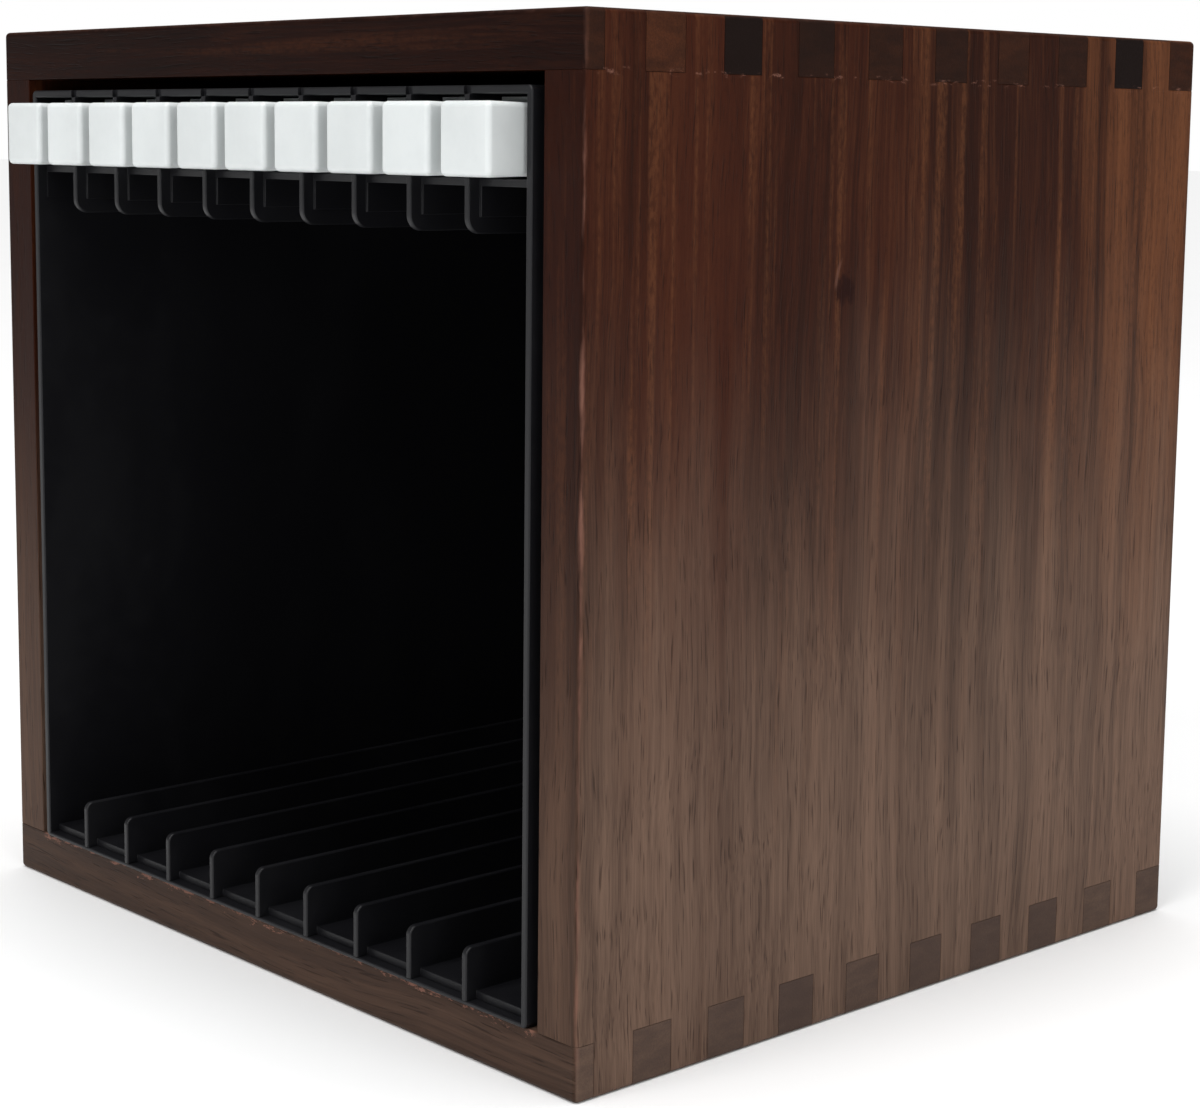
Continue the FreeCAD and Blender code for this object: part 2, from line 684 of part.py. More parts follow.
def main():
    """Builds the case, the rack and its mechanism, then writes the files."""
    horizontal_board("bottom_board", "0", "0", "board - rebate")
    horizontal_board("top_board", "roof", "case_height", "roof")
    side_board("left_side_board", "-half_width", "-half_width", "-inner_half - rebate")
    side_board("right_side_board", "inner_half", "half_width", "inner_half")
    back_panel()
    rack_sleeve()
    rack_floor()
    key_deck()
    key_guide()
    lever_carrier()
    rack_cover()
    pivot_rod()
    for index in range(round(number("slots"))):
        key(index)
        key_spring(index)
        lever(index)
    group("rack_screws", [rack_screw(x, z) for x, z in screw_places()])
    group("panel_pins", [panel_pin(x, z) for x, z in pin_places()])
    write_parts()


main()
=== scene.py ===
"""Looks for the desktop disc box: stained walnut boards round a black moulded rack with white push keys.

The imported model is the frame. Each sub-assembly below is a class that makes finer copies of its pieces, or
new ones, dresses them with procedural finishes and seats them on the frame's bodies. Lengths are in metres,
and those that place patterns in the walnut finish are in millimetres.
"""
import logging
import math
from dataclasses import dataclass, field
from enum import Enum
from typing import Iterable, Sequence

import bmesh
import bpy
from mathutils import Matrix, Vector


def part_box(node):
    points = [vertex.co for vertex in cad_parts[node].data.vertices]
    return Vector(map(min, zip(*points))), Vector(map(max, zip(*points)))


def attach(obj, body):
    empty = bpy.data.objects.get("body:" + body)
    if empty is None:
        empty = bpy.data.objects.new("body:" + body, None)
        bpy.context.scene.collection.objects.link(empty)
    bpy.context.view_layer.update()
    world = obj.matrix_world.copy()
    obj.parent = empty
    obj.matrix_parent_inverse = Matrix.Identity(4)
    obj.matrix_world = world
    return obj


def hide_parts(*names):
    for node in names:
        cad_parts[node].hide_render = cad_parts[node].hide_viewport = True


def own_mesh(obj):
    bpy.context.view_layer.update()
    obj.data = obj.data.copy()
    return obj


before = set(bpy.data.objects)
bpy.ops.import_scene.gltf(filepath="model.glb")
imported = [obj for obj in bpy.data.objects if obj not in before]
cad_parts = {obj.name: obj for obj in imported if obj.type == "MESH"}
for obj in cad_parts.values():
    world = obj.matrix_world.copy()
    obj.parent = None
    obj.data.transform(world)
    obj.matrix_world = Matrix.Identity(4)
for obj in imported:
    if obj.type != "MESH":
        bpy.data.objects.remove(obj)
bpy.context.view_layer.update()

LOG = logging.getLogger("disc_box")
MM = 0.001
# Corners of a CAD copy nearer than this are one, and faces nearer to flat than this are one face.
MERGE_WITHIN = 0.002 * MM
FLAT_WITHIN = math.radians(0.4)

Colour = tuple[float, float, float]
Triple = tuple[float, float, float]
Pair = tuple[float, float]
Socket = bpy.types.NodeSocket
Value = float | Sequence[float] | Socket


class Grain(Enum):
    """The direction a board's grain runs in, as the turn that brings it upright."""

    UPRIGHT = (0.0, 0.0, 0.0)
    ACROSS = (0.0, math.pi / 2, 0.0)


class Blend(Enum):
    """How two colours mix."""

    MIX = "MIX"
    MULTIPLY = "MULTIPLY"


class NodeBench:
    """A node tree with short calls for the nodes that finishes are made of."""

    def __init__(self, tree: bpy.types.NodeTree) -> None:
        """Works on a tree.

        Args:
            tree: the material's or group's node tree.
        """
        self.tree = tree
        self.tree.nodes.clear()

    def feed(self, target: Socket, value: Value) -> None:
        """Links a socket to a target, or sets the target's own value.

        Args:
            target: the input to fill.
            value: a socket to link, or a number or colour to set.
        """
        if isinstance(value, bpy.types.NodeSocket):
            self.tree.links.new(value, target)
            return
        if hasattr(target, "default_value") and hasattr(target.default_value, "__len__"):
            wanted = len(target.default_value)
            given = tuple(value) if hasattr(value, "__len__") else (value,) * wanted
            target.default_value = given + (1.0,) * (wanted - len(given))
            return
        target.default_value = value

    def add(self, kind: str, settings: dict[str, object] | None = None, **inputs: Value) -> bpy.types.Node:
        """Adds a node.

        Args:
            kind: the node's type without its ShaderNode prefix.
            settings: properties of the node itself.
            inputs: values for its inputs, named with underscores for spaces.

        Returns:
            The new node.
        """
        node = self.tree.nodes.new("ShaderNode" + kind)
        for key, value in (settings or {}).items():
            setattr(node, key, value)
        for key, value in inputs.items():
            self.feed(node.inputs[key.replace("_", " ")], value)
        return node

    def math(self, operation: str, *values: Value) -> Socket:
        """A math node's result.

        Args:
            operation: the node's operation.
            values: its operands in order.

        Returns:
            The value socket.
        """
        node = self.add("Math", {"operation": operation})
        for target, value in zip(node.inputs, values):
            self.feed(target, value)
        return node.outputs[0]

    def vector(self, operation: str, *values: Value) -> Socket:
        """A vector math node's vector result.

        Args:
            operation: the node's operation.
            values: its operands in order.

        Returns:
            The vector socket.
        """
        node = self.add("VectorMath", {"operation": operation})
        for target, value in zip(node.inputs, values):
            self.feed(target, value)
        return node.outputs[0]

    def mix(self, share: Value, first: Value, second: Value, blend: Blend = Blend.MIX) -> Socket:
        """Mixes two colours.

        Args:
            share: how much of the second one shows, 0 to 1.
            first: the colour below.
            second: the colour above.
            blend: how they mix.

        Returns:
            The colour socket.
        """
        node = self.add("MixRGB", {"blend_type": blend.value})
        for target, value in zip(node.inputs, (share, first, second)):
            self.feed(target, value)
        return node.outputs[0]

    def span(
        self, value: Value, low: float, high: float, to_low: float = 0.0, to_high: float = 1.0
    ) -> Socket:
        """Maps a value smoothly from one range to another, clamped.

        Args:
            value: the value to map.
            low: its lower limit.
            high: its upper limit.
            to_low: the result at the lower limit.
            to_high: the result at the upper limit.

        Returns:
            The value socket.
        """
        node = self.add("MapRange", {"interpolation_type": "SMOOTHSTEP"})
        for target, given in zip(node.inputs, (value, low, high, to_low, to_high)):
            self.feed(target, given)
        return node.outputs[0]

    def noise(self, where: Value, scale: float, detail: float = 2.0, rough: float = 0.5) -> Socket:
        """A noise texture's value.

        Args:
            where: the coordinates it reads.
            scale: cells per unit of the coordinates.
            detail: octaves.
            rough: how strong the finer octaves are.

        Returns:
            The value socket, 0 to 1.
        """
        node = self.add("TexNoise", None, Vector=where, Scale=scale, Detail=detail, Roughness=rough)
        return node.outputs[0]

    def times(self, first: Value, second: Value) -> Socket:
        """The product of two values.

        Args:
            first: one value.
            second: the other.

        Returns:
            The value socket.
        """
        return self.math("MULTIPLY", first, second)

    def apart(self, first: Value, second: Value) -> Socket:
        """How far two values are apart, without a sign.

        Args:
            first: one value.
            second: the other.

        Returns:
            The value socket.
        """
        return self.math("ABSOLUTE", self.math("SUBTRACT", first, second))

    def swing(self, value: Value, reach: float, base: Value, middle: float = 0.5) -> Socket:
        """Adds to a base how far a value is from its middle, times a reach.

        Args:
            value: the value that sways, such as a noise.
            reach: what a sway of one adds.
            base: what is added to.
            middle: the value's middle.

        Returns:
            The value socket.
        """
        return self.math("MULTIPLY_ADD", self.math("SUBTRACT", value, middle), reach, base)

    def cloud(self, where: Value, rates: Triple, detail: float = 2.0, rough: float = 0.5) -> Socket:
        """Noise that changes at a rate of its own along each axis.

        Args:
            where: coordinates in millimetres.
            rates: noise cells per millimetre along X, Y and Z.
            detail: the noise's octaves.
            rough: how strong the finer octaves are.

        Returns:
            The value socket.
        """
        return self.noise(self.vector("MULTIPLY", where, rates), 1.0, detail, rough)

    def stretched(self, where: Value, across: float, along: float) -> Socket:
        """Coordinates scaled unevenly, for noise drawn out along the grain, which runs along Z.

        Args:
            where: coordinates in millimetres.
            across: scale across the grain.
            along: scale along the grain.

        Returns:
            The vector socket.
        """
        return self.vector("MULTIPLY", where, (across, across, along))

    def millimetres(self) -> Socket:
        """The piece's own coordinates, in millimetres."""
        where = self.add("TexCoord").outputs["Object"]
        return self.vector("MULTIPLY", where, (1000.0, 1000.0, 1000.0))


def new_group(name: str, inputs: dict[str, tuple[str, Value]], outputs: dict[str, str]) -> tuple:
    """Starts a shared node group.

    Args:
        name: the group's name.
        inputs: socket name to (socket type, value it starts with).
        outputs: socket name to socket type.

    Returns:
        The group, its bench, its input node and its output node.
    """
    tree = bpy.data.node_groups.new(name, "ShaderNodeTree")
    bench = NodeBench(tree)
    for label, (kind, value) in inputs.items():
        made = tree.interface.new_socket(name=label, in_out="INPUT", socket_type="NodeSocket" + kind)
        if kind != "Vector":
            made.default_value = value
    for label, kind in outputs.items():
        tree.interface.new_socket(name=label, in_out="OUTPUT", socket_type="NodeSocket" + kind)
    entry = tree.nodes.new("NodeGroupInput")
    leave = tree.nodes.new("NodeGroupOutput")
    return tree, bench, entry, leave


@dataclass(frozen=True)
class TimberGroup:
    """Shared effect: sawn timber with bands, streaks, fibres and pores, its grain along Z."""

    name: str = "sawn_timber"
    wander: Triple = (9.0, 9.0, 0.0)
    middle: Triple = (0.5, 0.5, 0.5)
    end_grain: Pair = (0.55, 0.8)
    # Cells per millimetre across and along the grain.
    sway_rates: Pair = (0.02, 0.012)
    band_rates: Pair = (0.034, 0.0018)
    streak_rates: Pair = (0.17, 0.004)
    fibre_rates: Pair = (1.15, 0.016)
    thread_rates: Pair = (4.6, 0.07)
    figure_rates: Pair = (0.09, 0.05)
    pore_rates: Pair = (3.1, 0.13)
    pore_edge: Pair = (0.60, 0.72)
    # Shares of streak, fibre, thread and figure in the tone.
    shares: tuple[float, float, float, float] = (0.42, 0.34, 0.14, 0.10)
    thread_height: float = 0.5
    pore_depth: float = 0.7

    def build(self) -> bpy.types.NodeTree:
        """Makes the group.

        Returns:
            The node tree. Its outputs are Tone, Band and Streak (0 to 1), the Pores and End Grain masks and
            Height.
        """
        tree, bench, entry, leave = new_group(
            self.name,
            {"Place": ("Vector", None), "Facing": ("Vector", None)},
            {
                "Tone": "Float",
                "Band": "Float",
                "Streak": "Float",
                "Pores": "Float",
                "End Grain": "Float",
                "Height": "Float",
            },
        )
        place = entry.outputs["Place"]
        swaying = bench.stretched(place, *self.sway_rates)
        sway = bench.add("TexNoise", None, Vector=swaying, Scale=1.0, Detail=2.0)
        pushed = bench.vector("SUBTRACT", sway.outputs["Color"], self.middle)
        bent = bench.vector("ADD", place, bench.vector("MULTIPLY", pushed, self.wander))
        band = bench.noise(bench.stretched(bent, *self.band_rates), 1.0, 1.5, 0.5)
        streak = bench.noise(bench.stretched(bent, *self.streak_rates), 1.0, 3.0, 0.62)
        fibre = bench.noise(bench.stretched(bent, *self.fibre_rates), 1.0, 3.0, 0.65)
        thread = bench.noise(bench.stretched(bent, *self.thread_rates), 1.0, 2.0, 0.6)
        figure = bench.noise(bench.stretched(bent, *self.figure_rates), 1.0, 3.0, 0.6)
        tone = bench.times(streak, self.shares[0])
        for part, share in zip((fibre, thread, figure), self.shares[1:]):
            tone = bench.math("MULTIPLY_ADD", part, share, tone)
        pores = bench.noise(bench.stretched(bent, *self.pore_rates), 1.0, 1.0, 0.4)
        pores = bench.span(pores, *self.pore_edge)
        facing = bench.add("SeparateXYZ", None, Vector=entry.outputs["Facing"])
        end = bench.span(bench.math("ABSOLUTE", facing.outputs[2]), *self.end_grain)
        raised = bench.times(thread, self.thread_height)
        height = bench.math("SUBTRACT", raised, bench.times(pores, self.pore_depth))
        results = {
            "Tone": tone,
            "Band": band,
            "Streak": streak,
            "Pores": pores,
            "End Grain": end,
            "Height": height,
        }
        for label, value in results.items():
            bench.feed(leave.inputs[label], value)
        return tree


@dataclass(frozen=True)
class BoxEdgeGroup:
    """Shared effect: the distance from the nearest outer edge of the case, in millimetres."""

    name: str = "case_edge_distance"

    def build(self) -> bpy.types.NodeTree:
        """Makes the group. Its output, Distance, is the middle one of the distances from the outer faces.

        Returns:
            The node tree.
        """
        tree, bench, entry, leave = new_group(
            self.name,
            {"Place": ("Vector", None), "Centre": ("Vector", None), "Half": ("Vector", None)},
            {"Distance": "Float"},
        )
        offset = bench.vector("SUBTRACT", entry.outputs["Place"], entry.outputs["Centre"])
        inward = bench.vector("SUBTRACT", entry.outputs["Half"], bench.vector("ABSOLUTE", offset))
        a, b, c = bench.add("SeparateXYZ", None, Vector=inward).outputs
        nearer = bench.math("MINIMUM", a, b)
        farther = bench.math("MAXIMUM", a, b)
        middle = bench.math("MAXIMUM", nearer, bench.math("MINIMUM", farther, c))
        bench.feed(leave.inputs["Distance"], middle)
        return tree


@dataclass(frozen=True)
class MouldedGroup:
    """Shared effect: the skin of a moulded plastic, with spark texture, flow marks and handling marks."""

    name: str = "moulded_skin"
    flow_rates: Triple = (0.05, 0.05, 0.02)
    rub_rates: Triple = (0.25, 0.25, 0.25)
    rub_edge: Pair = (0.5, 0.75)
    flow_share: float = 0.7

    def build(self) -> bpy.types.NodeTree:
        """Makes the group.

        Returns:
            The node tree. Its outputs are Shade (0 to 1), Rub (a mask of handling marks) and Height.
        """
        tree, bench, entry, leave = new_group(
            self.name,
            {"Place": ("Vector", None), "Texture": ("Float", 6.0)},
            {"Shade": "Float", "Rub": "Float", "Height": "Float"},
        )
        place = entry.outputs["Place"]
        texture = entry.outputs["Texture"]
        spark = bench.add("TexNoise", None, Vector=place, Scale=texture, Detail=3.0, Roughness=0.6)
        flow = bench.cloud(place, self.flow_rates, 3.0)
        rub = bench.cloud(place, self.rub_rates, 5.0, 0.7)
        rubbed = bench.times(rub, 1.0 - self.flow_share)
        bench.feed(leave.inputs["Shade"], bench.math("MULTIPLY_ADD", flow, self.flow_share, rubbed))
        bench.feed(leave.inputs["Rub"], bench.span(rub, *self.rub_edge))
        bench.feed(leave.inputs["Height"], spark.outputs[0])
        return tree


class Effects:
    """The shared node groups, each built once."""

    def __init__(self) -> None:
        """Builds every group."""
        self.timber = TimberGroup().build()
        self.case_edge = BoxEdgeGroup().build()
        self.moulded = MouldedGroup().build()

    @staticmethod
    def place(bench: NodeBench, tree: bpy.types.NodeTree, **inputs: Value) -> bpy.types.Node:
        """Sets a group in a finish.

        Args:
            bench: the finish's bench.
            tree: the group.
            inputs: values for its inputs, named with underscores for spaces.

        Returns:
            The group node.
        """
        node = bench.tree.nodes.new("ShaderNodeGroup")
        node.node_tree = tree
        for key, value in inputs.items():
            bench.feed(node.inputs[key.replace("_", " ")], value)
        return node


def new_finish(name: str) -> tuple[bpy.types.Material, NodeBench, bpy.types.Node]:
    """Starts a finish with one Principled shader.

    Args:
        name: the material's name.

    Returns:
        The material, its bench and its shader node.
    """
    material = bpy.data.materials.new(name)
    material.use_nodes = True
    bench = NodeBench(material.node_tree)
    shader = bench.add("BsdfPrincipled")
    out = bench.add("OutputMaterial")
    bench.tree.links.new(shader.outputs[0], out.inputs[0])
    return material, bench, shader


# How pale each finger end of the top and the bottom board is, from the front of the case to its back.
TOP_ENDS = (0.45, 0.9, 0.02, 0.2, 0.35, 0.25, 0.5, 0.35, 0.0, 0.5)
LOW_ENDS = (0.8, 0.55, 0.42, 0.25, 0.5, 0.35, 0.3, 0.3, 0.6, 0.5)
# Where the right board's knot lies, in millimetres.
KNOT = (83.5, -18.8, 122.4)


@dataclass(frozen=True)
class WalnutFinish:
    """Dark stained walnut under thin satin lacquer, with painted shade on its front faces and a painted
    floor reflection that makes it paler and duller low down.
    """

    name: str
    grain: Grain
    offset: Triple
    depth: float = 1.0
    end_tones: tuple[float, ...] = (0.4,)
    knot: Triple | None = None
    dark: Colour = (0.0095, 0.0028, 0.0014)
    middle: Colour = (0.032, 0.0080, 0.0034)
    light: Colour = (0.080, 0.0260, 0.0105)
    red: Colour = (0.050, 0.0118, 0.0048)
    golden: Colour = (0.140, 0.0500, 0.0200)
    # Paler, greyer colours of the painted floor reflection on the lower part of the case.
    reflected_dark: Colour = (0.086, 0.052, 0.037)
    reflected_light: Colour = (0.188, 0.120, 0.086)
    end_dark: Colour = (0.0100, 0.0052, 0.0042)
    end_light: Colour = (0.086, 0.0270, 0.0115)
    # The end grain's colour under the painted floor reflection.
    end_reflected: Colour = (0.078, 0.052, 0.044)
    # Paler wood for wear on the sill, the seams and beside the knot, and on the outer edges, where it is
    # partly a painted highlight.
    wear_and_painted_light: Colour = (0.27, 0.125, 0.090)
    knot_dark: Colour = (0.014, 0.0026, 0.0016)
    # Painted shade on the faces that look to the front, lighter low down with the painted floor reflection.
    front_shade: Colour = (0.42, 0.36, 0.34)
    front_shade_low: Colour = (0.56, 0.52, 0.50)
    board: float = 9.0
    # The heights between which the painted floor reflection pales the colour, and how far patches and
    # streaks of it stray.
    reflection_from: float = 134.0
    reflection_to: float = 28.0
    reflection_patches: float = 60.0
    reflection_streaks: float = 46.0
    finger_step: float = 16.4
    finger_lead: float = 8.45
    front_facing: Pair = (-0.5, -0.85)
    rough: Pair = (0.40, 0.54)
    end_rough: float = 0.2
    gloss: float = 0.06
    lacquer: float = 0.01
    lacquer_rough: float = 0.3
    relief: float = 0.00014
    tone_range: Pair = (0.33, 0.67)
    # How strongly the case's outer edges pale (partly wear, partly a painted highlight), and how strongly
    # the wear shows on the opening's sill and along the top seams.
    edge_wear_and_highlight: float = 0.6
    sill_wear: float = 0.6
    seam_wear: float = 0.5

    def build(self, effects: Effects) -> bpy.types.Material:
        """Makes the material.

        Args:
            effects: the shared groups.

        Returns:
            The material.
        """
        material, bench, shader = new_finish(self.name)
        where = bench.millimetres()
        turned = bench.add("Mapping", None, Vector=where, Rotation=self.grain.value, Location=self.offset)
        normal = bench.add("NewGeometry").outputs["Normal"]
        facing = bench.add("Mapping", {"vector_type": "NORMAL"}, Vector=normal, Rotation=self.grain.value)
        wood = effects.place(bench, effects.timber, Place=turned.outputs[0], Facing=facing.outputs[0])
        axes = bench.add("SeparateXYZ", None, Vector=where)
        # Painted floor reflection: the colour pales low down.
        painted_reflection = self._painted_reflection(bench, where, axes.outputs[2])
        plank = self._plank(bench, wood, turned.outputs[0], painted_reflection, axes.outputs[1])
        end = self._end(bench, turned.outputs[0], axes.outputs[1], painted_reflection)
        colour = bench.mix(wood.outputs["End Grain"], plank, end)
        # Painted shade: faces that look to the front are darkened, less so low down.
        ahead = bench.add("SeparateXYZ", None, Vector=normal).outputs[1]
        tint = bench.mix(painted_reflection, self.front_shade, self.front_shade_low)
        colour = bench.mix(bench.span(ahead, *self.front_facing), colour, tint, Blend.MULTIPLY)
        colour = bench.mix(1.0, colour, (self.depth,) * 3, Blend.MULTIPLY)
        if self.knot:
            colour = self._knot(bench, where, colour)
        # Rubbed wear on the sill and seams, and paler outer edges that are partly wear and partly a painted
        # highlight.
        wear_and_highlight = self._wear_and_highlight(bench, effects, where)
        colour = bench.mix(wear_and_highlight, colour, self.wear_and_painted_light)
        bench.feed(shader.inputs["Base Color"], colour)
        rough = bench.span(wood.outputs["Tone"], 0.35, 0.65, *self.rough)
        rough = bench.math("MULTIPLY_ADD", wood.outputs["End Grain"], self.end_rough, rough)
        bench.feed(shader.inputs["Roughness"], rough)
        shader.inputs["Specular IOR Level"].default_value = self.gloss
        shader.inputs["Coat Weight"].default_value = self.lacquer
        shader.inputs["Coat Roughness"].default_value = self.lacquer_rough
        bump = bench.add("Bump", None, Strength=0.4, Distance=self.relief, Height=wood.outputs["Height"])
        bench.feed(shader.inputs["Normal"], bump.outputs[0])
        return material

    def _knot(self, bench: NodeBench, where: Socket, colour: Socket) -> Socket:
        """Sets a small dark knot with a pale scratch beside it into the outer face.

        Args:
            bench: the material's bench.
            where: the piece's coordinates in millimetres.
            colour: the wood's colour.

        Returns:
            The colour socket.
        """
        away = bench.vector("SUBTRACT", where, self.knot)
        blur = bench.cloud(where, (0.3, 0.9, 0.6), 3.0, 0.6)
        spread = bench.add("VectorMath", {"operation": "LENGTH"})
        bench.feed(spread.inputs[0], bench.vector("MULTIPLY", away, (0.1, 0.34, 0.34)))
        ring = bench.swing(blur, 1.6, spread.outputs["Value"])
        colour = bench.mix(bench.span(ring, 1.1, 0.4, 0.0, 0.9), colour, self.knot_dark)
        axes = bench.add("SeparateXYZ", None, Vector=away)
        bow = bench.times(bench.math("POWER", axes.outputs[2], 2.0), 0.05)
        beside = bench.apart(axes.outputs[1], bench.math("ADD", bow, -2.2))
        beyond = bench.apart(axes.outputs[2], 2.5)
        scratch = bench.times(bench.span(beside, 0.5, 0.15), bench.span(beyond, 3.0, 1.0, 0.0, 0.24))
        return bench.mix(scratch, colour, self.wear_and_painted_light)

    def _painted_reflection(self, bench: NodeBench, where: Socket, height: Socket) -> Socket:
        """How strongly the floor's reflection is painted in, 0 near the top of the case to 1 low down.

        Args:
            bench: the material's bench.
            where: the piece's coordinates in millimetres.
            height: the height over the underside in millimetres.

        Returns:
            The value socket.
        """
        patchy = bench.cloud(where, (0.02, 0.03, 0.012), 3.0, 0.55)
        streaky = bench.cloud(where, (0.18, 0.18, 0.006), 3.0, 0.6)
        level = bench.swing(patchy, self.reflection_patches, height)
        level = bench.swing(streaky, self.reflection_streaks, level)
        return bench.span(level, self.reflection_from, self.reflection_to)

    def _plank(
        self, bench: NodeBench, wood: bpy.types.Node, where: Socket, painted_reflection: Socket, depth: Socket
    ) -> Socket:
        """The colour of the long-grain faces, more golden towards the back of the case.

        Args:
            bench: the material's bench.
            wood: the timber group.
            where: the piece's coordinates in millimetres, the grain along Z.
            painted_reflection: how strongly the painted floor reflection shows.
            depth: the piece's Y coordinate in millimetres.

        Returns:
            The colour socket.
        """
        tone = wood.outputs["Tone"]
        ramp = bench.add("ValToRGB", None, Fac=bench.span(tone, 0.26, 0.76))
        stops = ramp.color_ramp.elements
        stops[0].color = (*self.dark, 1.0)
        stops[1].color = (*self.light, 1.0)
        middle = stops.new(0.48)
        middle.color = (*self.middle, 1.0)
        redness = bench.span(wood.outputs["Band"], 0.46, 0.66, 0.0, 0.62)
        stained = bench.mix(redness, ramp.outputs[0], self.red)
        deep = bench.span(wood.outputs["Band"], 0.46, 0.30, 0.0, 0.34)
        stained = bench.mix(deep, stained, self.dark)
        sway = bench.math("MULTIPLY_ADD", wood.outputs["Streak"], 60.0, depth)
        gold = bench.times(bench.span(sway, 62.0, 100.0), bench.span(tone, 0.3, 0.62, 0.25, 0.95))
        stained = bench.mix(gold, stained, self.golden)
        flecks = bench.cloud(where, (1.5, 1.5, 0.7), 3.0, 0.6)
        strands = bench.cloud(where, (0.34, 0.34, 0.008), 3.0, 0.65)
        glint = bench.times(bench.span(strands, 0.52, 0.68), bench.span(flecks, 0.36, 0.66, 0.35, 1.0))
        stained = bench.mix(bench.times(glint, 0.42), stained, self.golden)
        stained = bench.mix(bench.span(flecks, 0.5, 0.3, 0.0, 0.22), stained, self.dark)
        # Painted floor reflection: paler, greyer grain low down.
        reflected_tone = bench.mix(bench.span(tone, *self.tone_range), self.reflected_dark, self.reflected_light)
        colour = bench.mix(bench.times(painted_reflection, 0.86), stained, reflected_tone)
        return bench.mix(bench.times(wood.outputs["Pores"], 0.5), colour, self.dark)

    def _end(self, bench: NodeBench, place: Socket, depth: Socket, painted_reflection: Socket) -> Socket:
        """The colour of the end grain, which differs from finger to finger.

        Args:
            bench: the material's bench.
            place: coordinates in millimetres, the grain along Z.
            depth: the piece's Y coordinate in millimetres.
            painted_reflection: how strongly the painted floor reflection shows.

        Returns:
            The colour socket.
        """
        dots = bench.cloud(place, (3.2, 3.2, 0.2))
        bands = bench.cloud(place, (0.5, 0.16, 0.02), 3.0)
        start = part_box("top_board")[0][1] / MM - self.finger_lead
        count = len(self.end_tones)
        run = bench.math("DIVIDE", bench.math("SUBTRACT", depth, start), self.finger_step * count)
        tones = bench.add("ValToRGB", None, Fac=run)
        stops = tones.color_ramp.elements
        tones.color_ramp.interpolation = "CONSTANT"
        stops.remove(stops[1])
        for index, tone in enumerate(self.end_tones):
            stop = stops.new(index / count) if index else stops[0]
            stop.color = (tone, tone, tone, 1.0)
        share = bench.times(bench.span(dots, 0.3, 0.7, 0.7, 1.0), bench.span(bands, 0.3, 0.7, 0.6, 1.1))
        share = bench.times(share, tones.outputs[0])
        end_own_colour = bench.mix(share, self.end_dark, self.end_light)
        # Painted floor reflection on the end grain, mixed in low down.
        wear_and_painted_light = bench.mix(share, self.end_reflected, self.reflected_light)
        return bench.mix(bench.times(painted_reflection, 0.95), end_own_colour, wear_and_painted_light)

    def _wear_and_highlight(self, bench: NodeBench, effects: Effects, where: Socket) -> Socket:
        """Where the stain is rubbed off on the opening's sill and the top board's seams, and where the outer
        edges pale, partly from wear and partly as a painted highlight.

        Args:
            bench: the material's bench.
            effects: the shared groups.
            where: the piece's coordinates in millimetres.

        Returns:
            The value socket.
        """
        low, high = (Vector(corner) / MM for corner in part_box("top_board"))
        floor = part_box("bottom_board")[0][2] / MM
        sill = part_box("bottom_board")[1][2] / MM
        centre = Vector(((low.x + high.x) / 2, (low.y + high.y) / 2, (floor + high.z) / 2))
        half = Vector(((high.x - low.x) / 2, (high.y - low.y) / 2, (high.z - floor) / 2))
        edge = effects.place(bench, effects.case_edge, Place=where, Centre=centre, Half=half)
        across, along, above = bench.add("SeparateXYZ", None, Vector=where).outputs
        aside = bench.math("ABSOLUTE", across)
        ragged = bench.cloud(where, (0.4, 0.4, 0.06), 4.0, 0.65)
        reach = bench.math("MULTIPLY_ADD", ragged, 2.2, edge.outputs[0])
        # Paler outer edges, mostly the upright ones: partly wear, partly a painted highlight along them.
        upright = bench.span(bench.apart(above, centre.z), 80.0, 70.0, 0.12, 1.0)
        edges = bench.times(bench.span(reach, 1.75, 0.8, 0.0, self.edge_wear_and_highlight), upright)
        ahead = bench.math("SUBTRACT", along, low.y)
        off_sill = bench.math("MAXIMUM", ahead, bench.apart(above, sill))
        nicks = bench.cloud(where, (0.33, 1.0, 1.0), 4.0, 0.75)
        off_sill = bench.swing(nicks, -9.0, off_sill, 0.56)
        chips = bench.span(off_sill, 0.9, 0.35, 0.0, self.sill_wear)
        chips = bench.times(chips, bench.span(aside, 74.5, 73.0))
        specks = bench.cloud(where, (0.5, 0.42, 0.9), 4.0, 0.7)
        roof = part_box("left_side_board")[1][2] / MM - self.board
        seam = bench.span(bench.apart(above, roof), 0.8, 0.2)
        seam = bench.times(seam, bench.span(specks, 0.56, 0.68, 0.0, self.seam_wear))
        seam = bench.times(seam, bench.span(aside, 82.0, 83.0))
        return bench.math("MAXIMUM", bench.math("MAXIMUM", edges, chips), seam)


@dataclass(frozen=True)
class PlyFinish:
    """Thin stained plywood, matt, with its grain upright."""

    name: str = "stained_ply"
    dark: Colour = (0.018, 0.009, 0.007)
    light: Colour = (0.060, 0.032, 0.022)
    rough: Pair = (0.62, 0.78)
    relief: float = 0.00015
    tone_range: Pair = (0.33, 0.67)

    def build(self, effects: Effects) -> bpy.types.Material:
        """Makes the material.

        Args:
            effects: the shared groups.

        Returns:
            The material.
        """
        material, bench, shader = new_finish(self.name)
        normal = bench.add("NewGeometry").outputs["Normal"]
        swap = bench.add("Mapping", None, Vector=bench.millimetres(), Rotation=(0.0, 0.0, math.pi / 2))
        wood = effects.place(bench, effects.timber, Place=swap.outputs[0], Facing=normal)
        tone = bench.span(wood.outputs["Tone"], *self.tone_range)
        colour = bench.mix(tone, self.dark, self.light)
        colour = bench.mix(bench.times(wood.outputs["Pores"], 0.5), colour, self.dark)
        bench.feed(shader.inputs["Base Color"], colour)
        bench.feed(shader.inputs["Roughness"], bench.span(tone, 0.0, 1.0, *self.rough))
        bump = bench.add("Bump", None, Strength=0.4, Distance=self.relief, Height=wood.outputs["Height"])
        bench.feed(shader.inputs["Normal"], bump.outputs[0])
        return material


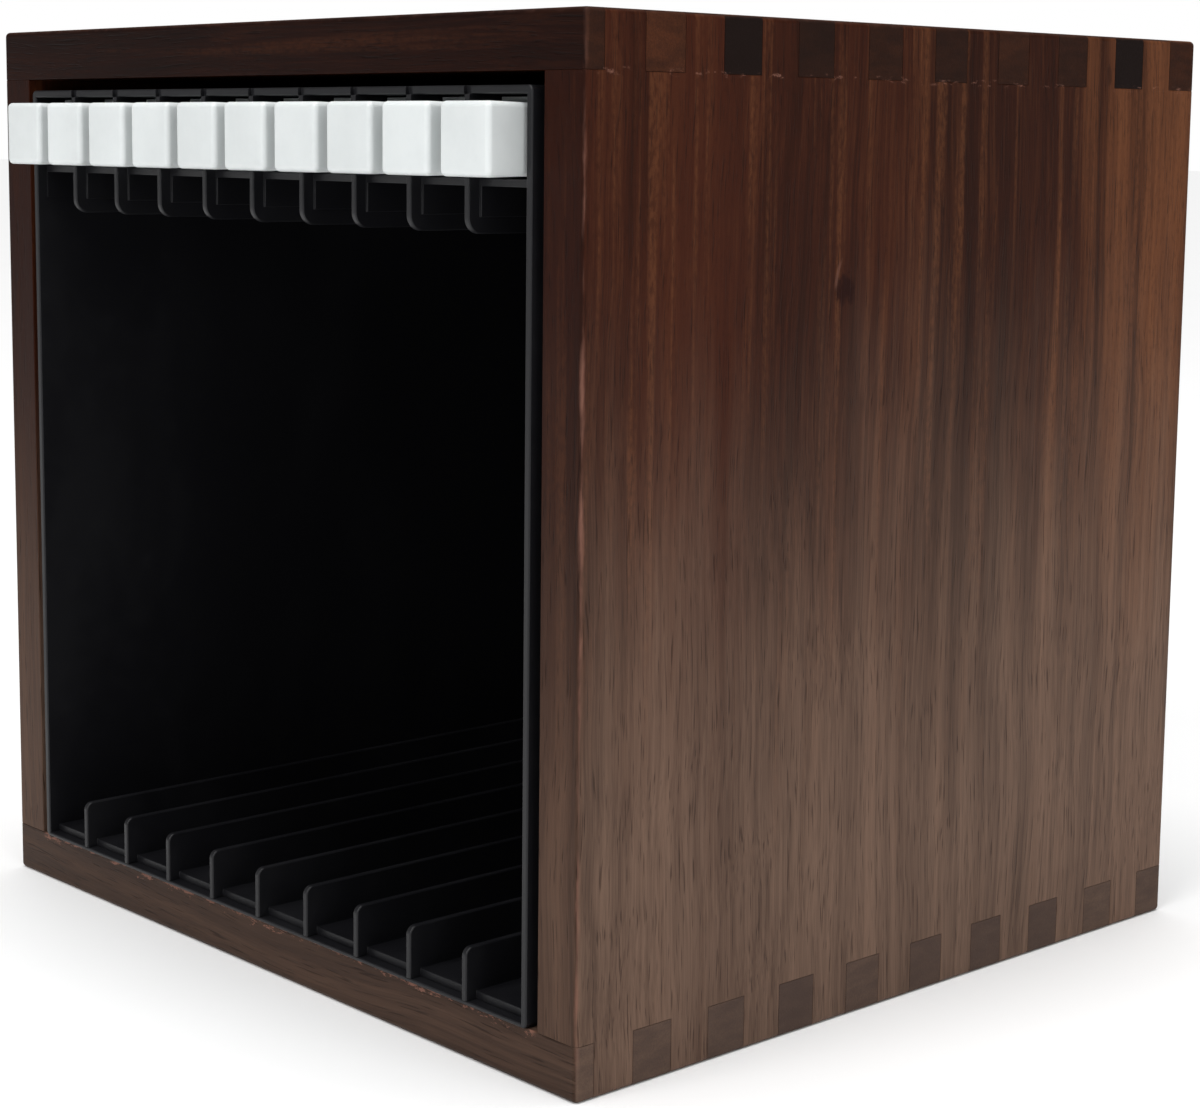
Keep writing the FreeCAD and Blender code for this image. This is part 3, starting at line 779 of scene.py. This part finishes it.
@dataclass(frozen=True)
class MouldedFinish:
    """Moulded plastic with a fine spark texture."""

    name: str
    colour: Colour
    rubbed: Colour
    rough: Pair
    texture: float = 6.0
    relief: float = 0.00003
    gloss: float = 0.5
    glow: float = 0.0
    glow_reach: float = 0.0015
    dimmed: float = 0.88
    handling: float = 0.4

    def build(self, effects: Effects) -> bpy.types.Material:
        """Makes the material.

        Args:
            effects: the shared groups.

        Returns:
            The material.
        """
        material, bench, shader = new_finish(self.name)
        skin = effects.place(bench, effects.moulded, Place=bench.millimetres(), Texture=self.texture)
        shade = bench.span(skin.outputs["Shade"], 0.3, 0.7)
        dim = tuple(channel * self.dimmed for channel in self.colour)
        colour = bench.mix(shade, dim, self.colour)
        colour = bench.mix(bench.times(skin.outputs["Rub"], self.handling), colour, self.rubbed)
        bench.feed(shader.inputs["Base Color"], colour)
        bench.feed(shader.inputs["Roughness"], bench.span(shade, 0.0, 1.0, *self.rough))
        shader.inputs["Specular IOR Level"].default_value = self.gloss
        shader.inputs["Subsurface Weight"].default_value = self.glow
        shader.inputs["Subsurface Radius"].default_value = (1.0, 1.0, 1.0)
        shader.inputs["Subsurface Scale"].default_value = self.glow_reach
        bump = bench.add("Bump", None, Strength=0.5, Distance=self.relief, Height=skin.outputs["Height"])
        bench.feed(shader.inputs["Normal"], bump.outputs[0])
        return material


@dataclass(frozen=True)
class SteelFinish:
    """Drawn or blackened steel with fine lines along one axis."""

    name: str
    colour: Colour
    stained: Colour
    rough: Pair
    along: Triple
    stain_share: float = 0.5
    relief: float = 0.00001

    def build(self) -> bpy.types.Material:
        """Makes the material.

        Returns:
            The material.
        """
        material, bench, shader = new_finish(self.name)
        where = bench.millimetres()
        lines = bench.cloud(where, self.along, 3.0, 0.6)
        stain = bench.noise(where, 0.35, 4.0, 0.6)
        share = bench.times(bench.span(stain, 0.5, 0.75), self.stain_share)
        colour = bench.mix(share, bench.mix(lines, self.stained, self.colour), self.stained)
        bench.feed(shader.inputs["Base Color"], colour)
        bench.feed(shader.inputs["Roughness"], bench.span(lines, 0.3, 0.7, *self.rough))
        shader.inputs["Metallic"].default_value = 1.0
        bump = bench.add("Bump", None, Strength=0.3, Distance=self.relief, Height=lines)
        bench.feed(shader.inputs["Normal"], bump.outputs[0])
        return material


class Wardrobe:
    """Every finish of the box, each made once."""

    def __init__(self) -> None:
        """Builds the shared effects and the finishes."""
        effects = Effects()
        self.top = WalnutFinish("walnut_top", Grain.ACROSS, (11.0, 3.0, 7.0), 0.80, TOP_ENDS).build(effects)
        self.bottom = WalnutFinish(
            "walnut_bottom", Grain.ACROSS, (61.0, 43.0, 27.0), 0.74, LOW_ENDS
        ).build(effects)
        self.left = WalnutFinish("walnut_left", Grain.UPRIGHT, (5.0, 57.0, 31.0)).build(effects)
        self.right = WalnutFinish("walnut_right", Grain.UPRIGHT, (0.0, 36.0, 0.0), knot=KNOT).build(effects)
        self.ply = PlyFinish().build(effects)
        self.black = MouldedFinish(
            "black_moulding", (0.0072, 0.0072, 0.0088), (0.011, 0.011, 0.0125), (0.34, 0.48), gloss=0.3
        ).build(effects)
        self.lever = MouldedFinish(
            "lever_moulding", (0.011, 0.011, 0.012), (0.03, 0.03, 0.03), (0.3, 0.42), texture=3.0
        ).build(effects)
        self.white = MouldedFinish(
            "white_moulding",
            (0.66, 0.69, 0.69),
            (0.62, 0.64, 0.635),
            (0.36, 0.48),
            texture=4.0,
            relief=0.00001,
            glow=0.35,
        ).build(effects)
        self.rod = SteelFinish(
            "drawn_steel", (0.62, 0.62, 0.63), (0.42, 0.41, 0.4), (0.16, 0.3), (0.02, 6.0, 6.0)
        ).build()
        self.spring = SteelFinish(
            "spring_steel", (0.5, 0.5, 0.51), (0.3, 0.3, 0.3), (0.22, 0.4), (4.0, 4.0, 4.0)
        ).build()
        self.screw = SteelFinish(
            "blackened_steel", (0.05, 0.05, 0.052), (0.02, 0.019, 0.018), (0.35, 0.55), (5.0, 1.0, 5.0)
        ).build()


def seat(
    piece: bpy.types.Object, body: str, finish: bpy.types.Material, stands_for: Iterable[str] = ()
) -> None:
    """Gives a finished piece its material and its body, and hides the CAD nodes that it stands for.

    Args:
        piece: the new piece, in place.
        body: the body that carries it.
        finish: its material.
        stands_for: the CAD nodes that it replaces.
    """
    piece.data.materials.clear()
    piece.data.materials.append(finish)
    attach(piece, body)
    nodes = tuple(stands_for)
    if nodes:
        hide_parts(*nodes)
    LOG.info("%s on %s: %d faces", piece.name, body, len(piece.data.polygons))


def softened(
    node: str, name: str, width: float, segments: int = 2, crease: float = 28.0
) -> bpy.types.Object:
    """A finer copy of a CAD node: its loose triangles merged into faces and its sharp edges broken.

    Args:
        node: the CAD node.
        name: the new piece's name.
        width: how far each edge is broken.
        segments: facets across a broken edge.
        crease: the least angle between two faces, in degrees, at which their edge counts as sharp.

    Returns:
        The new piece, shaded smooth, with weighted normals.
    """
    shape = bmesh.new()
    shape.from_mesh(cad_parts[node].data)
    bmesh.ops.remove_doubles(shape, verts=shape.verts, dist=MERGE_WITHIN)
    bmesh.ops.dissolve_limit(
        shape, angle_limit=FLAT_WITHIN, use_dissolve_boundaries=False, verts=shape.verts, edges=shape.edges
    )
    limit = math.radians(crease)
    sharp = [edge for edge in shape.edges if edge.is_manifold and edge.calc_face_angle(0.0) > limit]
    if sharp and width:
        bmesh.ops.bevel(
            shape,
            geom=sharp,
            offset=width,
            offset_type="OFFSET",
            affect="EDGES",
            segments=segments,
            profile=0.5,
            material=-1,
            clamp_overlap=True,
        )
    return finished(shape, name)


def finished(shape: bmesh.types.BMesh, name: str, crease: float = 40.0) -> bpy.types.Object:
    """Turns a bmesh into a piece, shaded smooth up to a crease angle.

    Args:
        shape: the bmesh, which is freed.
        name: the piece's name.
        crease: the angle in degrees above which an edge stays sharp.

    Returns:
        The new piece.
    """
    mesh = bpy.data.meshes.new(name)
    shape.to_mesh(mesh)
    shape.free()
    mesh.shade_smooth()
    mesh.set_sharp_from_angle(angle=math.radians(crease))
    piece = bpy.data.objects.new(name, mesh)
    bpy.context.scene.collection.objects.link(piece)
    weights = piece.modifiers.new("even_shading", "WEIGHTED_NORMAL")
    weights.keep_sharp = True
    return piece


@dataclass
class WoodenCase:
    """The four finger-jointed boards, the back panel and its pins."""

    edge_break: float = 0.14 * MM
    pin_break: float = 0.1 * MM
    boards: tuple[str, ...] = ("top_board", "bottom_board", "left_side_board", "right_side_board")

    def build(self, finishes: Wardrobe) -> None:
        """Makes and seats the pieces.

        Args:
            finishes: the materials.
        """
        dress = dict(zip(self.boards, (finishes.top, finishes.bottom, finishes.left, finishes.right)))
        for node, finish in dress.items():
            piece = softened(node, "walnut_" + node, self.edge_break)
            seat(piece, "root", finish, [node])
        panel = softened("back_panel", "ply_back_panel", self.edge_break)
        seat(panel, "root", finishes.ply, ["back_panel"])
        pins = softened("panel_pins", "flat_head_pins", self.pin_break)
        seat(pins, "root", finishes.screw, ["panel_pins"])


@dataclass
class MouldedRack:
    """The black rack: sleeve, floor, key deck, key guide, lever carrier, cover and its screws."""

    edge_break: float = 0.12 * MM
    screw_break: float = 0.08 * MM
    mouldings: tuple[str, ...] = (
        "rack_sleeve",
        "rack_floor",
        "key_deck",
        "key_guide",
        "lever_carrier",
        "rack_cover",
    )

    def build(self, finishes: Wardrobe) -> None:
        """Makes and seats the pieces.

        Args:
            finishes: the materials.
        """
        for node in self.mouldings:
            piece = softened(node, "black_" + node, self.edge_break)
            seat(piece, "root", finishes.black, [node])
        screws = softened("rack_screws", "countersunk_screws", self.screw_break)
        seat(screws, "root", finishes.screw, ["rack_screws"])


@dataclass
class EjectorRow:
    """The keys, their springs, the levers and the rod that the levers turn on."""

    edge_break: float = 0.12 * MM
    rod_break: float = 0.05 * MM
    wire: float = 0.3 * MM
    turns: int = 7
    steps_a_turn: int = 26
    wire_sides: int = 10
    wire_crease: float = 60.0
    tags: tuple[str, ...] = field(default_factory=lambda: tuple(f"{n:02d}" for n in range(1, 11)))

    def build(self, finishes: Wardrobe) -> None:
        """Makes and seats the pieces.

        Args:
            finishes: the materials.
        """
        rod = softened("pivot_rod", "steel_pivot_rod", self.rod_break)
        seat(rod, "root", finishes.rod, ["pivot_rod"])
        for tag in self.tags:
            key = softened(f"key_{tag}", f"push_key_{tag}", self.edge_break)
            seat(key, f"key_{tag}", finishes.white, [f"key_{tag}"])
            lever = softened(f"lever_{tag}", f"ejector_lever_{tag}", self.edge_break)
            seat(lever, f"lever_{tag}", finishes.lever, [f"lever_{tag}"])
            spring = self._spring(tag)
            seat(spring, "root", finishes.spring, [f"key_spring_{tag}"])
            self._squash(spring, tag)

    def _spring(self, tag: str) -> bpy.types.Object:
        """Winds one compression spring where its CAD node lies.

        Args:
            tag: the key's number.

        Returns:
            The spring.
        """
        low, high = (Vector(corner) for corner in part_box(f"key_spring_{tag}"))
        axis = Vector(((low.x + high.x) / 2, low.y + self.wire, (low.z + high.z) / 2))
        coil = (high.z - low.z) / 2 - self.wire
        length = high.y - low.y - 2 * self.wire
        steps = self.turns * self.steps_a_turn
        shape = bmesh.new()
        start = Matrix.Translation(axis + Vector((0.0, 0.0, coil))) @ Matrix.Rotation(math.pi / 2, 4, "Y")
        ring = bmesh.ops.create_circle(
            shape, segments=self.wire_sides, radius=self.wire, cap_ends=True, matrix=start
        )
        bmesh.ops.spin(
            shape,
            geom=ring["verts"] + shape.edges[:] + shape.faces[:],
            cent=axis,
            axis=(0.0, 1.0, 0.0),
            dvec=(0.0, length / steps, 0.0),
            angle=self.turns * 2 * math.pi,
            steps=steps,
            use_duplicate=False,
        )
        bmesh.ops.recalc_face_normals(shape, faces=shape.faces)
        return finished(shape, f"key_spring_coil_{tag}", self.wire_crease)

    @staticmethod
    def _squash(spring: bpy.types.Object, tag: str) -> None:
        """Gives a spring a mesh of its own.

        Args:
            spring: the spring.
            tag: the key's number; not used.
        """
        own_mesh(spring)


@dataclass(frozen=True)
class SoftLight:
    """A square soft light that points at the box."""

    name: str
    place: Triple
    side: float
    power: float
    aim: Triple = (0.0, 0.0, 0.08)

    def hang(self) -> None:
        """Adds the light to the scene."""
        lamp = bpy.data.lights.new(self.name, "AREA")
        lamp.size = self.side
        lamp.energy = self.power
        holder = bpy.data.objects.new(self.name, lamp)
        holder.location = self.place
        holder.rotation_mode = "QUATERNION"
        holder.rotation_quaternion = (Vector(self.aim) - Vector(self.place)).to_track_quat("-Z", "Y")
        bpy.context.scene.collection.objects.link(holder)


@dataclass
class Studio:
    """Floor, lights, background and camera."""

    eye: Triple = (0.35539, -0.32048, 0.14608)
    yaw: float = -47.429
    pitch: float = 7.77
    roll: float = 0.639
    focal_widths: float = 2.09
    shift: Pair = (-0.0045, -0.0608)
    sensor_mm: float = 36.0
    nearest: float = 0.01
    floor_half: float = 12.0
    floor_tints: tuple[Colour, Colour] = ((0.86, 0.86, 0.86), (0.88, 0.88, 0.88))
    floor_rough: float = 0.9
    floor_gloss: float = 0.2
    backdrop: float = 0.78
    ambient: float = 0.22
    sun_strength: float = 2.7
    sun_spread: float = 50
    soft_lights: tuple[SoftLight, ...] = (
        SoftLight("key_light", (0.15, -1.2, 0.9), 0.9, 10.8),
        SoftLight("side_light", (1.3, -0.1, 0.75), 0.9, 5.4),
    )

    def build(self) -> None:
        """Makes the floor, the background, the lights and the camera."""
        self._floor()
        self._background()
        for light in self.soft_lights:
            light.hang()
        self._overhead()
        self._camera()

    def _floor(self) -> None:
        """Lays the floor, just under the case."""
        shape = bmesh.new()
        bmesh.ops.create_grid(shape, x_segments=1, y_segments=1, size=self.floor_half)
        floor = finished(shape, "studio_floor")
        material, bench, shader = new_finish("pale_floor")
        tint = bench.mix(bench.noise(bench.millimetres(), 0.01), *self.floor_tints)
        bench.feed(shader.inputs["Base Color"], tint)
        shader.inputs["Roughness"].default_value = self.floor_rough
        shader.inputs["Specular IOR Level"].default_value = self.floor_gloss
        floor.data.materials.append(material)

    def _background(self) -> None:
        """Gives the world a white backdrop and a softer glow for lighting."""
        world = bpy.data.worlds.new("studio_world")
        bpy.context.scene.world = world
        world.use_nodes = True
        bench = NodeBench(world.node_tree)
        seen = bench.add("LightPath").outputs["Is Camera Ray"]
        strength = bench.math("MULTIPLY_ADD", seen, self.backdrop, self.ambient)
        glow = bench.add("Background", None, Color=(1.0, 1.0, 1.0), Strength=strength)
        out = bench.add("OutputWorld")
        bench.tree.links.new(glow.outputs[0], out.inputs[0])
        bpy.context.scene.view_settings.view_transform = "Standard"

    def _overhead(self) -> None:
        """Sets even light straight down, so the floor stays pale to its far edge."""
        lamp = bpy.data.lights.new("overhead_light", "SUN")
        lamp.energy = self.sun_strength
        lamp.angle = math.radians(self.sun_spread)
        holder = bpy.data.objects.new("overhead_light", lamp)
        holder.location = (0.0, 0.0, 1.0)
        bpy.context.scene.collection.objects.link(holder)

    def _camera(self) -> None:
        """Sets the camera."""
        yaw, pitch, roll = (math.radians(angle) for angle in (self.yaw, self.pitch, self.roll))
        level = math.cos(pitch)
        ahead = Vector((math.sin(yaw) * level, math.cos(yaw) * level, -math.sin(pitch)))
        right = Vector((math.cos(yaw), -math.sin(yaw), 0.0))
        up = right.cross(ahead)
        tilted_right = right * math.cos(roll) + up * math.sin(roll)
        tilted_up = up * math.cos(roll) - right * math.sin(roll)
        pose = Matrix((tilted_right, tilted_up, -ahead)).transposed().to_4x4()
        pose.translation = Vector(self.eye)
        lens = bpy.data.cameras.new("camera")
        lens.sensor_width = self.sensor_mm
        lens.lens = self.focal_widths * lens.sensor_width
        lens.shift_x, lens.shift_y = self.shift
        lens.clip_start = self.nearest
        camera = bpy.data.objects.new("camera", lens)
        camera.matrix_world = pose
        bpy.context.scene.collection.objects.link(camera)
        bpy.context.scene.camera = camera


def main() -> None:
    """Builds the studio and every sub-assembly in order."""
    logging.basicConfig(level=logging.INFO, format="%(name)s: %(message)s")
    Studio().build()
    finishes = Wardrobe()
    for assembly in (WoodenCase(), MouldedRack(), EjectorRow()):
        assembly.build(finishes)
    bpy.context.view_layer.update()


if __name__ == "__main__":
    main()
